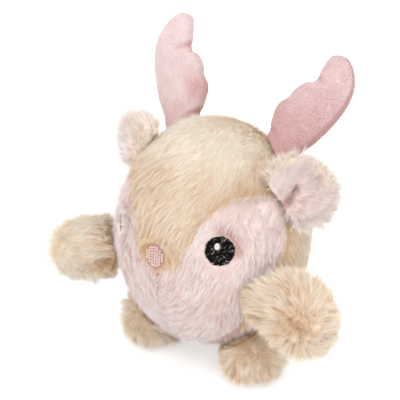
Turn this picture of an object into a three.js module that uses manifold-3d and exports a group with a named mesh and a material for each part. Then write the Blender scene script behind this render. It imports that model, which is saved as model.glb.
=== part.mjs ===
import * as THREE from "three";
import { mergeVertices } from "three/addons/utils/BufferGeometryUtils.js";
import Module from "manifold-3d";

// A round plush deer that stands on two stuffed feet. It faces -Y, its left side is +X and +Z is up.
// The origin is on the floor under the middle of the ball. Lengths are in millimetres.

const wasm = await Module();
wasm.setup();

// The ball is head and body in one, measured to the outside of its pile.
const ballWidth = 122;
const ballDepth = 122;
const ballHeight = 145;
const ballClearance = 13.5;
const coverThickness = 3.4;
const seamGap = 0.3;

// Each embroidered spot lies in a bed pressed into the pile.
const bedDepth = 2.6;
const embroideryThickness = 1.1;
const eyeDiameter = 16;
const glintDiameter = 3.8;
const glintInward = 1.6;
const glintUp = 2.9;
const glintThickness = 0.6;
const noseWidth = 13;
const noseHeight = 14.6;
const noseEdgeWidth = 1.1;

// An arm is a blunt stuffed pouch, measured along its own axis from the seam on the ball.
const armLength = 46;
const armRoot = 9;
const armHeight = 46;
const armThickness = 44;
const armFormShares = { topPower: 2.6, bottomPower: 2.2, taperShare: 0.1 };

// A foot is a stuffed pouch with a flattened sole.
const footWidth = 43;
const footLength = 54;
const footHeight = 42;
const footSpread = 77.5;
const footForward = 8.5;
const footFormShares = { topPower: 2.1, bottomPower: 4.5, taperShare: 0 };
const soleCut = 0.5;

// An antler blade, measured up from the seam on the ball.
const antlerReach = 43;
const antlerHeight = 68;
const antlerThickness = 15;

// An ear flap, measured out from the seam on the ball.
const earReach = 36;
const earHeight = 47;
const earThickness = 13;
const earCup = 6;
const earFormShares = { topPower: 2.2, bottomPower: 2.2, taperShare: 0 };
const liningHeight = 35;
const liningDrop = 4;
const liningThickness = 5;

// Room between a limb and the ball through the whole of its swing.
const swingGap = 0.5;

// How each piece hangs at rest, in degrees. The soft toy isn't quite the same on its two sides.
const antlerPoseAngles = {
  left: { lean: 42.5, yaw: 7.5, roll: -0.8 },
  right: { lean: 17, yaw: -2.8, roll: 7.6 },
};
const earPoseAngles = {
  left: { rise: 36.5, droop: 6 },
  right: { rise: 46.5, droop: 0 },
};
const armDroopAngles = { left: 7, right: 0 };

// Where each antler is sewn on: how far out and how far behind the middle of the ball.
const antlerSeat = {
  left: { out: 38.5, behind: 10 },
  right: { out: 35.5, behind: 16 },
};

const swingAngles = {
  antler: [-12, 12],
  ear: [-20, 20],
  arm: [-20, 20],
  leg: [-15, 15],
};
const swingStepAngle = 5;

// Facets round a form and from pole to pole.
const ballFacets = [28, 18];
const limbFacets = [18, 12];
const earFacets = [18, 8];
const discFacets = 22;
const bladeFacets = 6;
const loopPoints = 48;

// Points closer than this are one point.
const weldReach = 1e-4;
const poleShare = 1e-6;

const material = {
  beigePlush: new THREE.MeshStandardMaterial({ color: 0xe6d2b4, roughness: 1 }),
  pinkPlush: new THREE.MeshStandardMaterial({ color: 0xe9d3cd, roughness: 1 }),
  roseVelvet: new THREE.MeshStandardMaterial({ color: 0xd9b4b4, roughness: 0.9 }),
  stuffing: new THREE.MeshStandardMaterial({ color: 0xf2f0ea, roughness: 1 }),
  blackThread: new THREE.MeshStandardMaterial({ color: 0x1d1b1c, roughness: 0.6 }),
  whiteThread: new THREE.MeshStandardMaterial({ color: 0xf6f4f0, roughness: 0.6 }),
  pinkThread: new THREE.MeshStandardMaterial({ color: 0xe6c3bd, roughness: 0.6 }),
  roseThread: new THREE.MeshStandardMaterial({ color: 0xb98d8a, roughness: 0.6 }),
};

const X = new THREE.Vector3(1, 0, 0);
const Y = new THREE.Vector3(0, 1, 0);
const Z = new THREE.Vector3(0, 0, 1);
const ballRadii = new THREE.Vector3(ballWidth / 2, ballDepth / 2, ballHeight / 2);
const ballCentre = new THREE.Vector3(0, 0, ballClearance + ballHeight / 2);
const reach = Math.max(ballWidth, ballDepth, ballHeight);
const radians = THREE.MathUtils.degToRad;

// A closed geometry as a solid that can be joined and cut.
function solid(geometry) {
  const plain = geometry.clone();
  for (const name of Object.keys(plain.attributes)) {
    if (name !== "position") plain.deleteAttribute(name);
  }
  const welded = mergeVertices(plain, weldReach);
  return new wasm.Manifold(
    new wasm.Mesh({
      numProp: 3,
      vertProperties: Float32Array.from(welded.attributes.position.array),
      triVerts: Uint32Array.from(welded.index.array),
    }),
  );
}

// The same geometry on the other side of the toy.
function mirrored(geometry) {
  const flipped = geometry.clone().applyMatrix4(new THREE.Matrix4().makeScale(-1, 1, 1));
  const index = flipped.index;
  for (let i = 0; i < index.count; i += 3) {
    const first = index.getX(i);
    index.setX(i, index.getX(i + 1));
    index.setX(i + 1, first);
  }
  return flipped;
}

// A solid's skin as a geometry again.
function geometryOf(body) {
  const shape = body.getMesh();
  const geometry = new THREE.BufferGeometry();
  geometry.setAttribute("position", new THREE.BufferAttribute(shape.vertProperties, 3));
  geometry.setIndex(new THREE.BufferAttribute(shape.triVerts, 1));
  return geometry;
}

// A finished solid as a named mesh. Everything is built for the left and mirrored for the right.
function piece(name, body, look, side = "left") {
  const geometry = side === "right" ? mirrored(geometryOf(body)) : geometryOf(body);
  geometry.computeVertexNormals();
  const mesh = new THREE.Mesh(geometry, look);
  mesh.name = name;
  return mesh;
}

// The ball's own shape, grown or shrunk by an offset.
function ballGeometry(offset) {
  const sphere = new THREE.SphereGeometry(1, ...ballFacets).rotateX(Math.PI / 2);
  sphere.scale(ballRadii.x + offset, ballRadii.y + offset, ballRadii.z + offset);
  return sphere.translate(...ballCentre.toArray());
}

function ball(offset) {
  return solid(ballGeometry(offset));
}

// A direction on the unit ball: turn is measured from the nose towards the left, rise from the middle up.
function direction(turn, rise) {
  const flat = Math.cos(radians(rise));
  const side = Math.sin(radians(turn)) * flat;
  return new THREE.Vector3(side, -Math.cos(radians(turn)) * flat, Math.sin(radians(rise)));
}

function onBall(unit, offset = 0) {
  return new THREE.Vector3(
    unit.x * (ballRadii.x + offset),
    unit.y * (ballRadii.y + offset),
    unit.z * (ballRadii.z + offset),
  ).add(ballCentre);
}

function normalAt(unit) {
  const slope = new THREE.Vector3(unit.x / ballRadii.x, unit.y / ballRadii.y, unit.z / ballRadii.z);
  return slope.normalize();
}

// The unit direction whose place on the ball lies under or beside a point.
function unitTowards(point) {
  return point.clone().sub(ballCentre).divide(ballRadii).normalize();
}

// Axes for a piece: across, up its face, and out of its face.
function frameAt(origin, across, up, out) {
  return new THREE.Matrix4().makeBasis(across, up, out).setPosition(origin);
}

// A stuffed form: a sphere squared off and tapered along Z.
function stuffed(size, facets, { topPower = 2, bottomPower = 2, taperShare = 0 }) {
  const form = new THREE.SphereGeometry(1, ...facets).rotateX(Math.PI / 2);
  const place = form.attributes.position;
  for (let i = 0; i < place.count; i += 1) {
    const rise = place.getZ(i);
    const flat = Math.hypot(place.getX(i), place.getY(i));
    const power = 2 / (rise > 0 ? topPower : bottomPower);
    const wide = flat < poleShare ? 0 : (flat ** power / flat) * (1 - taperShare * rise);
    place.setXYZ(i, place.getX(i) * wide, place.getY(i) * wide, Math.sign(rise) * Math.abs(rise) ** power);
  }
  return form.scale(size.x / 2, size.y / 2, size.z / 2);
}

// The room that the ball needs when a piece on the given hinge swings through its range.
function sweptBall(hinge) {
  const [low, high] = swingAngles[hinge.kind];
  let room = null;
  for (let turn = -high; turn <= -low; turn += swingStepAngle) {
    const shape = ballGeometry(swingGap)
      .translate(...hinge.point.clone().negate().toArray())
      .applyMatrix4(new THREE.Matrix4().makeRotationAxis(hinge.axis, radians(turn)))
      .translate(...hinge.point.toArray());
    room = room ? room.add(solid(shape)) : solid(shape);
  }
  return room;
}

// A closed loop of directions, smoothed through hand-placed turns and rises on the left half.
function seamLoop(half) {
  const left = half.map(([turn, rise]) => direction(turn, rise));
  const right = half
    .slice(1, -1)
    .reverse()
    .map(([turn, rise]) => direction(-turn, rise));
  const curve = new THREE.CatmullRomCurve3([...left, ...right], true, "centripetal");
  const points = [];
  for (let i = 0; i < loopPoints; i += 1) {
    points.push(curve.getPoint(i / loopPoints).normalize());
  }
  return points;
}

// How far a wedge runs out past the ball at its rim and over its middle, in radii of the ball.
const wedgeRimShare = 1.6;
const wedgeTopShare = 4;

// A wedge from the middle of the ball through a loop and far out, drawn in at its seams by an inset.
function seamWedge(loop, middle, inset) {
  const unitInset = inset / ballRadii.x;
  const corners = [new THREE.Vector3(), middle.clone().multiplyScalar(wedgeTopShare)];
  loop.forEach((point, i) => {
    const along = loop[(i + 1) % loop.length].clone().sub(loop[(i + loop.length - 1) % loop.length]);
    const inward = new THREE.Vector3().crossVectors(along, point).normalize();
    if (inward.dot(middle.clone().sub(point)) < 0) inward.negate();
    corners.push(point.clone().addScaledVector(inward, unitInset).normalize().multiplyScalar(wedgeRimShare));
  });
  const faces = [];
  loop.forEach((point, i) => {
    const here = i + 2;
    const next = ((i + 1) % loop.length) + 2;
    faces.push(0, here, next, 1, next, here);
  });
  const places = corners.flatMap((corner) => corner.multiply(ballRadii).add(ballCentre).toArray());
  const wedge = new THREE.BufferGeometry();
  wedge.setAttribute("position", new THREE.Float32BufferAttribute(places, 3));
  wedge.setIndex(faces);
  return windOut(wedge);
}

// Turns a closed geometry's faces outwards where they point in.
function windOut(geometry) {
  const made = solid(geometry);
  if (made.volume() > 0) return made;
  const index = geometry.index;
  for (let i = 0; i < index.count; i += 3) {
    const first = index.getX(i);
    index.setX(i, index.getX(i + 1));
    index.setX(i + 1, first);
  }
  return solid(geometry);
}

// Turns and rises, in degrees, of the seams on the left half of the ball.
const crownTopAngles = [
  [80, 34],
  [99, 41],
  [121, 49],
  [150, 58],
  [180, 62],
];
const crownSeamAngles = [
  [0, -1.5],
  [9, 1],
  [15, 7],
  [19.5, 15],
  [24, 22],
  [33, 30.5],
  [46, 35.5],
  [62, 36],
  ...crownTopAngles,
];
const faceSeamAngles = [
  [0, -63],
  [20, -60],
  [38, -51],
  [50, -38],
  [54, -24],
  [55, -11],
  [62, -2],
  [75, 4],
  [80, 14],
  ...crownTopAngles,
];

// A direction well inside each cover.
const crownMiddleAngles = [0, 72];
const faceMiddleAngles = [0, 25];

// The four kinds of cover that are sewn round the ball, and the stuffing inside.
function makeCovers() {
  const cover = ball(0).subtract(ball(-coverThickness));
  const crownLoop = seamLoop(crownSeamAngles);
  const faceLoop = seamLoop(faceSeamAngles);
  const crownMiddle = direction(...crownMiddleAngles);
  const faceMiddle = direction(...faceMiddleAngles);
  const leftHalf = solid(
    new THREE.BoxGeometry(reach, 2 * reach, 2 * reach)
      .translate((reach + seamGap) / 2, 0, 0)
      .translate(...ballCentre.toArray()),
  );
  const crown = cover.intersect(seamWedge(crownLoop, crownMiddle, seamGap));
  const face = cover
    .intersect(seamWedge(faceLoop, faceMiddle, seamGap))
    .subtract(seamWedge(crownLoop, crownMiddle, 0));
  const back = cover
    .subtract(seamWedge(faceLoop, faceMiddle, 0))
    .subtract(seamWedge(crownLoop, crownMiddle, 0));
  return { crown, cheek: face.intersect(leftHalf), back: back.intersect(leftHalf) };
}

// A thin layer that follows the ball between two depths under its surface.
function layer(top, bottom) {
  return ball(-top).subtract(ball(-bottom));
}

// A straight plug along the ball's normal at a place, for an oval of the given size.
const plugShare = 1 / 3;

function plug(unit, size, shift = new THREE.Vector2()) {
  const out = normalAt(unit);
  const across = new THREE.Vector3().crossVectors(Z, out).normalize();
  const up = new THREE.Vector3().crossVectors(out, across);
  const rod = new THREE.CylinderGeometry(1, 1, 1, discFacets).rotateX(Math.PI / 2);
  rod.scale(size.x / 2, size.y / 2, ballWidth * plugShare).translate(shift.x, shift.y, 0);
  return solid(rod.applyMatrix4(frameAt(onBall(unit), across, up, out)));
}

const eyeTurnAngle = 35.9;
const eyeRiseAngle = 11.5;
const noseTurnAngle = -1.5;
const noseRiseAngle = 5.2;
const nosePlace = direction(noseTurnAngle, noseRiseAngle);

// The eyes stand evenly about the nose, so the right one is a little further round.
const eyePlaces = {
  left: direction(eyeTurnAngle, eyeRiseAngle),
  right: direction(eyeTurnAngle - 2 * noseTurnAngle, eyeRiseAngle),
};
const eyeSize = new THREE.Vector2(eyeDiameter, eyeDiameter);
const noseSize = new THREE.Vector2(noseWidth, noseHeight);

function widened(size, margin) {
  return size.clone().addScalar(2 * margin);
}

// The bed that an embroidered spot presses into the pile.
function bed(unit, size) {
  return plug(unit, widened(size, seamGap)).subtract(ball(-bedDepth));
}

function makeEye(side) {
  const top = bedDepth - seamGap - embroideryThickness;
  const shift = new THREE.Vector2(-glintInward, glintUp);
  const glintSize = new THREE.Vector2(glintDiameter, glintDiameter);
  const eye = layer(top, bedDepth - seamGap).intersect(plug(eyePlaces[side], eyeSize));
  const glintLayer = layer(top - seamGap - glintThickness, top - seamGap);
  const glint = glintLayer.intersect(plug(eyePlaces[side], glintSize, shift));
  return { eye, glint };
}

function makeNose() {
  const top = bedDepth - seamGap - embroideryThickness;
  const pad = layer(top, bedDepth - seamGap);
  const inner = widened(noseSize, -noseEdgeWidth);
  return {
    fill: pad.intersect(plug(nosePlace, inner)),
    edge: pad.intersect(plug(nosePlace, noseSize)).subtract(plug(nosePlace, widened(inner, seamGap))),
  };
}

// Hinges stand where each piece is sewn on, tangent to the ball.
function hingeOf(kind, side) {
  if (kind === "arm") return armHinge();
  if (kind === "leg") return legHinge();
  return kind === "ear" ? earHinge(side) : antlerHinge(side);
}

// The arm points out, forwards and slightly down. A positive turn lifts it.
const armAngles = [65.2, -11.3];
const armUnit = direction(...armAngles);

function armHinge() {
  const out = normalAt(armUnit);
  return { kind: "arm", point: onBall(armUnit), axis: new THREE.Vector3().crossVectors(out, Z).normalize() };
}

function makeArm(side) {
  const hinge = armHinge();
  const out = normalAt(armUnit).applyAxisAngle(hinge.axis, -radians(armDroopAngles[side]));
  const up = new THREE.Vector3().crossVectors(hinge.axis, out).normalize();
  const size = new THREE.Vector3(armThickness, armHeight, armLength + armRoot);
  const pouch = stuffed(size, limbFacets, armFormShares);
  pouch.translate(0, 0, (armLength - armRoot) / 2);
  const across = new THREE.Vector3().crossVectors(up, out);
  pouch.applyMatrix4(frameAt(hinge.point, across, up, out));
  return solid(pouch).subtract(sweptBall(hinge));
}

// The foot stands under the side of the ball. A positive turn swings its toes back.
function footCentre() {
  return new THREE.Vector3(footSpread / 2, -footForward, footHeight / 2 - soleCut);
}

function legHinge() {
  return { kind: "leg", point: onBall(unitTowards(footCentre())), axis: X.clone() };
}

function makeLeg() {
  const hinge = legHinge();
  const size = new THREE.Vector3(footWidth, footLength, footHeight);
  const pouch = stuffed(size, limbFacets, footFormShares);
  pouch.translate(...footCentre().toArray());
  const floor = new THREE.BoxGeometry(reach, reach, reach).translate(...footCentre().setZ(-reach / 2).toArray());
  return solid(pouch).subtract(sweptBall(hinge)).subtract(solid(floor));
}

// Inner and outer edge of the antler blade from its seam to its tip, as shares of its reach and height,
// with the share of its thickness there. The two dips on the inner edge part the tines.
const bladeShares = [
  [-0.25, -0.04, 0.1, -0.2, 0.9],
  [-0.25, 0.17, 0.28, 0.05, 0.95],
  [-0.27, 0.3, 0.44, 0.17, 1],
  [-0.275, 0.4, 0.54, 0.27, 1],
  [-0.245, 0.465, 0.615, 0.36, 0.97],
  [-0.17, 0.505, 0.66, 0.43, 0.95],
  [-0.135, 0.53, 0.68, 0.46, 0.92],
  [-0.11, 0.59, 0.705, 0.51, 0.94],
  [-0.03, 0.655, 0.73, 0.57, 0.92],
  [0.055, 0.69, 0.74, 0.63, 0.86],
  [0.14, 0.68, 0.742, 0.67, 0.8],
  [0.18, 0.76, 0.73, 0.745, 0.8],
  [0.21, 0.845, 0.685, 0.835, 0.74],
  [0.24, 0.925, 0.63, 0.905, 0.62],
  [0.275, 0.98, 0.56, 0.965, 0.44],
  [0.33, 1, 0.47, 0.998, 0.2],
];

// The power that rounds the blade's section. Below 1 it is fuller near the seam.
const puffPower = 0.75;

// One half of the blade, front or back of the seam that runs round its edge.
function bladeHalf(front) {
  const rings = bladeShares.map(([innerX, innerY, outerX, outerY, thick]) => {
    const inner = new THREE.Vector2(innerX * antlerReach, innerY * antlerHeight);
    const outer = new THREE.Vector2(outerX * antlerReach, outerY * antlerHeight);
    const ring = [];
    for (let j = 0; j <= bladeFacets; j += 1) {
      const turn = (Math.PI * j) / bladeFacets;
      const place = new THREE.Vector2().lerpVectors(inner, outer, (1 - Math.cos(turn)) / 2);
      const rise = Math.sin(turn) ** puffPower * thick * (antlerThickness / 2);
      ring.push(new THREE.Vector3(place.x, place.y, front * (seamGap / 2 + rise)));
    }
    return ring;
  });
  return windOut(loft(rings));
}

// Rings of points joined into one closed skin with flat ends.
function loft(rings) {
  const count = rings[0].length;
  const places = rings.flat().flatMap((point) => point.toArray());
  const faces = [];
  for (let i = 0; i + 1 < rings.length; i += 1) {
    for (let j = 0; j < count; j += 1) {
      const next = (j + 1) % count;
      const here = i * count;
      faces.push(here + j, here + next, here + count + j, here + next, here + count + next, here + count + j);
    }
  }
  const last = (rings.length - 1) * count;
  for (let j = 1; j + 1 < count; j += 1) {
    faces.push(0, j + 1, j, last, last + j, last + j + 1);
  }
  const skin = new THREE.BufferGeometry();
  skin.setAttribute("position", new THREE.Float32BufferAttribute(places, 3));
  skin.setIndex(faces);
  return skin;
}

// The antler stands at the seam behind the crown. A positive turn tips it back.
function antlerFrame(side) {
  const pose = antlerPoseAngles[side];
  const { out, behind } = antlerSeat[side];
  const rise = Math.sqrt(1 - (out / ballRadii.x) ** 2 - (behind / ballRadii.y) ** 2);
  const seat = new THREE.Vector3(out, behind, rise * ballRadii.z).add(ballCentre);
  const turned = new THREE.Matrix4()
    .makeRotationZ(radians(pose.yaw))
    .multiply(new THREE.Matrix4().makeRotationX(radians(-pose.lean)))
    .multiply(new THREE.Matrix4().makeRotationX(Math.PI / 2))
    .multiply(new THREE.Matrix4().makeRotationZ(radians(pose.roll)));
  return { seat, frame: turned.setPosition(seat) };
}

function antlerHinge(side) {
  const { seat, frame } = antlerFrame(side);
  const face = new THREE.Vector3().setFromMatrixColumn(frame, 2);
  const axis = new THREE.Vector3().crossVectors(normalAt(unitTowards(seat)), face).normalize();
  if (axis.x > 0) axis.negate();
  return { kind: "antler", point: seat, axis };
}

function makeAntler(side) {
  const { frame } = antlerFrame(side);
  const room = sweptBall(antlerHinge(side));
  const half = (front) => solid(geometryOf(bladeHalf(front)).applyMatrix4(frame)).subtract(room);
  return { front: half(1), back: half(-1) };
}

// The ear is sewn on beside the crown, along a line that runs up the ball. A positive turn folds it forwards.
const earTurnAngle = 81;
const earOutUnit = new THREE.Vector3(0.93, 0.36, 0.05);

// The flap runs on past its seam by a share of its reach, where the ball cuts it.
const earSpanShare = 1.3;

function earFrame(side) {
  const pose = earPoseAngles[side];
  const unit = direction(earTurnAngle, pose.rise);
  const out = earOutUnit.clone().applyAxisAngle(Y, radians(pose.droop)).normalize();
  const face = new THREE.Vector3().crossVectors(out, Z).normalize();
  const up = new THREE.Vector3().crossVectors(face, out).normalize();
  return { unit, out, face, up, seat: onBall(unit) };
}

function earHinge(side) {
  const { unit, face, seat } = earFrame(side);
  const axis = new THREE.Vector3().crossVectors(normalAt(unit), face).normalize();
  if (axis.z > 0) axis.negate();
  return { kind: "ear", point: seat, axis };
}

// A flap that cups forwards at its rim.
function earFlap(height, thickness, lift, drop) {
  const span = earReach * earSpanShare;
  const size = new THREE.Vector3(height, (span * height) / earHeight, thickness);
  const flap = stuffed(size, earFacets, earFormShares).translate(-drop, 0, 0);
  const place = flap.attributes.position;
  for (let i = 0; i < place.count; i += 1) {
    const out = (2 * Math.hypot(place.getX(i), place.getY(i))) / earHeight;
    place.setZ(i, place.getZ(i) + lift + earCup * out * out);
  }
  return flap.translate(0, earReach - span / 2, 0);
}

function makeEar(side) {
  const { out, face, up, seat } = earFrame(side);
  const frame = frameAt(seat, up, out, new THREE.Vector3().crossVectors(up, out));
  const facing = new THREE.Vector3().crossVectors(up, out).dot(face) > 0 ? 1 : -1;
  const room = sweptBall(earHinge(side));
  const laid = (geometry) => {
    const turned = facing > 0 ? geometry : geometry.applyMatrix4(new THREE.Matrix4().makeRotationY(Math.PI));
    return solid(turned.applyMatrix4(frame));
  };
  const lift = (earThickness - liningThickness) / 2;
  const lining = laid(earFlap(liningHeight, liningThickness, lift, liningDrop));
  const hollow = [0, liningThickness / 2].map((raised) =>
    laid(earFlap(liningHeight + 2 * seamGap, liningThickness + 2 * seamGap, lift + raised, liningDrop)),
  );
  const back = laid(earFlap(earHeight, earThickness, 0, 0)).subtract(hollow[0]).subtract(hollow[1]);
  return { back: back.subtract(room), lining: lining.subtract(room) };
}

const deer = new THREE.Group();
deer.userData.hinges = {};

function addBall() {
  const covers = makeCovers();
  const { fill, edge } = makeNose();
  deer.add(piece("stuffing", ball(-coverThickness - seamGap), material.stuffing));
  deer.add(piece("crown_cover", covers.crown.subtract(bed(nosePlace, noseSize)), material.beigePlush));
  deer.add(piece("nose_fill", fill, material.pinkThread), piece("nose_edge", edge, material.roseThread));
  for (const side of ["left", "right"]) {
    const { eye, glint } = makeEye(side);
    const cheek = covers.cheek.subtract(bed(eyePlaces[side], eyeSize)).subtract(bed(nosePlace, noseSize));
    deer.add(piece("cheek_cover_" + side, cheek, material.pinkPlush, side));
    deer.add(piece("back_cover_" + side, covers.back, material.beigePlush, side));
    deer.add(piece("eye_" + side, eye, material.blackThread, side));
    deer.add(piece("eye_glint_" + side, glint, material.whiteThread, side));
  }
}

function addLimbs(side) {
  const antler = makeAntler(side);
  const ear = makeEar(side);
  deer.add(piece("antler_front_" + side, antler.front, material.roseVelvet, side));
  deer.add(piece("antler_back_" + side, antler.back, material.roseVelvet, side));
  deer.add(piece("ear_back_" + side, ear.back, material.beigePlush, side));
  deer.add(piece("ear_lining_" + side, ear.lining, material.pinkPlush, side));
  deer.add(piece("arm_" + side, makeArm(side), material.beigePlush, side));
  deer.add(piece("leg_" + side, makeLeg(), material.beigePlush, side));
}

// Where each piece hinges, mirrored for the right side so that a positive turn means the same there.
function noteHinges(side) {
  for (const kind of Object.keys(swingAngles)) {
    const { point, axis } = hingeOf(kind, side);
    const facing = side === "left" ? 1 : -1;
    deer.userData.hinges[kind + "_" + side] = {
      point: [point.x * facing, point.y, point.z],
      axis: [axis.x, axis.y * facing, axis.z * facing],
      range: swingAngles[kind],
    };
  }
}

addBall();
for (const side of ["left", "right"]) {
  addLimbs(side);
  noteHinges(side);
}

export default deer;
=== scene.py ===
import math
import bmesh
import bpy
import numpy as np
from mathutils import Matrix, Vector
from mathutils.bvhtree import BVHTree


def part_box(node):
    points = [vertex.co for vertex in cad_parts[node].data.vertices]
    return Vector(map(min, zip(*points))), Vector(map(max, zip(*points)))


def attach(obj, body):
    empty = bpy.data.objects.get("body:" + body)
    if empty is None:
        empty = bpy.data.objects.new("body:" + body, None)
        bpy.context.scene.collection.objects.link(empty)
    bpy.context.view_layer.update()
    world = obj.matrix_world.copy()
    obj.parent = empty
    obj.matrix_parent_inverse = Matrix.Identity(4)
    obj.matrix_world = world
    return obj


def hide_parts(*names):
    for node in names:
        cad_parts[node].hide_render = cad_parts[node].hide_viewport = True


# A plush deer: one stuffed ball for head and body, velvet antlers, cupped ears, arms and feet.
# Lengths are in metres.
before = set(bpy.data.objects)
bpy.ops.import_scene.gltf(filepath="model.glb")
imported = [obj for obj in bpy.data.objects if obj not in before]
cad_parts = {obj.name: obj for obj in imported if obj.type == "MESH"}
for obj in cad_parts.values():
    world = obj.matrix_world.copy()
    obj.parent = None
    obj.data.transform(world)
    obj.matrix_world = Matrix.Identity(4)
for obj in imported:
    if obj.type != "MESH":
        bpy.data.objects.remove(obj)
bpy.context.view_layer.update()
scene = bpy.context.scene
scene.view_settings.view_transform = "Standard"
sides = {"left": 1, "right": -1}  # along x


def newObject(name, data):
    made = bpy.data.objects.new(name, data)
    scene.collection.objects.link(made)
    return made


# Camera

camera = {
    "back": (0.485, -0.770, 0.4147),  # from the middle of the ball towards the lens
    "distance": 0.558,
    "roll": 0.8,  # degrees
    "lens": 81.4,  # mm on a 36 mm sensor
    "shift": (-0.0335, 0.078),
}


def placeCamera(aim):
    data = bpy.data.cameras.new("camera")
    data.lens = camera["lens"]
    data.sensor_width = 36
    data.shift_x, data.shift_y = camera["shift"]
    data.clip_start = 0.01
    back = Vector(camera["back"]).normalized()
    right = Vector((0, 0, 1)).cross(back).normalized()
    up = back.cross(right)
    turn = math.radians(camera["roll"])
    tilted = (right * math.cos(turn) + up * math.sin(turn), up * math.cos(turn) - right * math.sin(turn), back)
    seat = newObject("camera", data)
    seat.matrix_world = Matrix.Translation(aim + back * camera["distance"]) @ Matrix(tilted).transposed().to_4x4()
    scene.camera = seat


low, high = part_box("stuffing")
coverDepth = 0.0037  # from the outside of the pile down to the stuffing
centre = np.array((low + high) / 2)
radii = np.array((high - low) / 2) + coverDepth
placeCamera(Vector(centre))


# Node helpers

def grow(tree, kind, feeds=None, **settings):
    node = tree.nodes.new(kind)
    for name, value in settings.items():
        setattr(node, name, value)
    for key, feed in (feeds or {}).items():
        if isinstance(feed, bpy.types.NodeSocket):
            tree.links.new(feed, node.inputs[key])
        elif feed is not None:
            node.inputs[key].default_value = feed
    return node


# The first output of a new node.
def socketOf(tree, kind, feeds=None, **settings):
    return grow(tree, kind, feeds, **settings).outputs[0]


def geo(tree, kind, feeds=None, **settings):
    return socketOf(tree, "GeometryNode" + kind, feeds, **settings)


# Feeds past the second are taken in turn.
def maths(tree, operation, first, *more):
    for feed in more or (None,):
        first = socketOf(tree, "ShaderNodeMath", {0: first, 1: feed}, operation=operation)
    return first


def vectors(tree, operation, *feeds):
    keys = (0, 3) if operation == "SCALE" else range(len(feeds))
    node = grow(tree, "ShaderNodeVectorMath", dict(zip(keys, feeds)), operation=operation)
    return node.outputs[1 if operation == "LENGTH" else 0]


def newTree(name, inputs):
    tree = bpy.data.node_groups.new(name, "GeometryNodeTree")
    tree.interface.new_socket("Base", in_out="INPUT", socket_type="NodeSocketGeometry")
    for label, value in inputs.items():
        kind = "Material" if value is None else "Int" if isinstance(value, int) else "Float"
        socket = tree.interface.new_socket(label, in_out="INPUT", socket_type="NodeSocket" + kind)
        if value is not None:
            socket.default_value = value
    tree.interface.new_socket("Made", in_out="OUTPUT", socket_type="NodeSocketGeometry")
    return tree, grow(tree, "NodeGroupInput").outputs


def settle(piece):
    depsgraph = bpy.context.evaluated_depsgraph_get()
    made = bpy.data.meshes.new_from_object(
        piece.evaluated_get(depsgraph), preserve_all_data_layers=True, depsgraph=depsgraph
    )
    piece.modifiers.clear()
    piece.data = made
    return piece


def runTree(piece, tree, values):
    modifier = piece.modifiers.new(tree.name, "NODES")
    modifier.node_group = tree
    for item in tree.interface.items_tree:
        if item.name in values:
            modifier[item.identifier] = values[item.name]
    settle(piece)


# Trees

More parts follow.
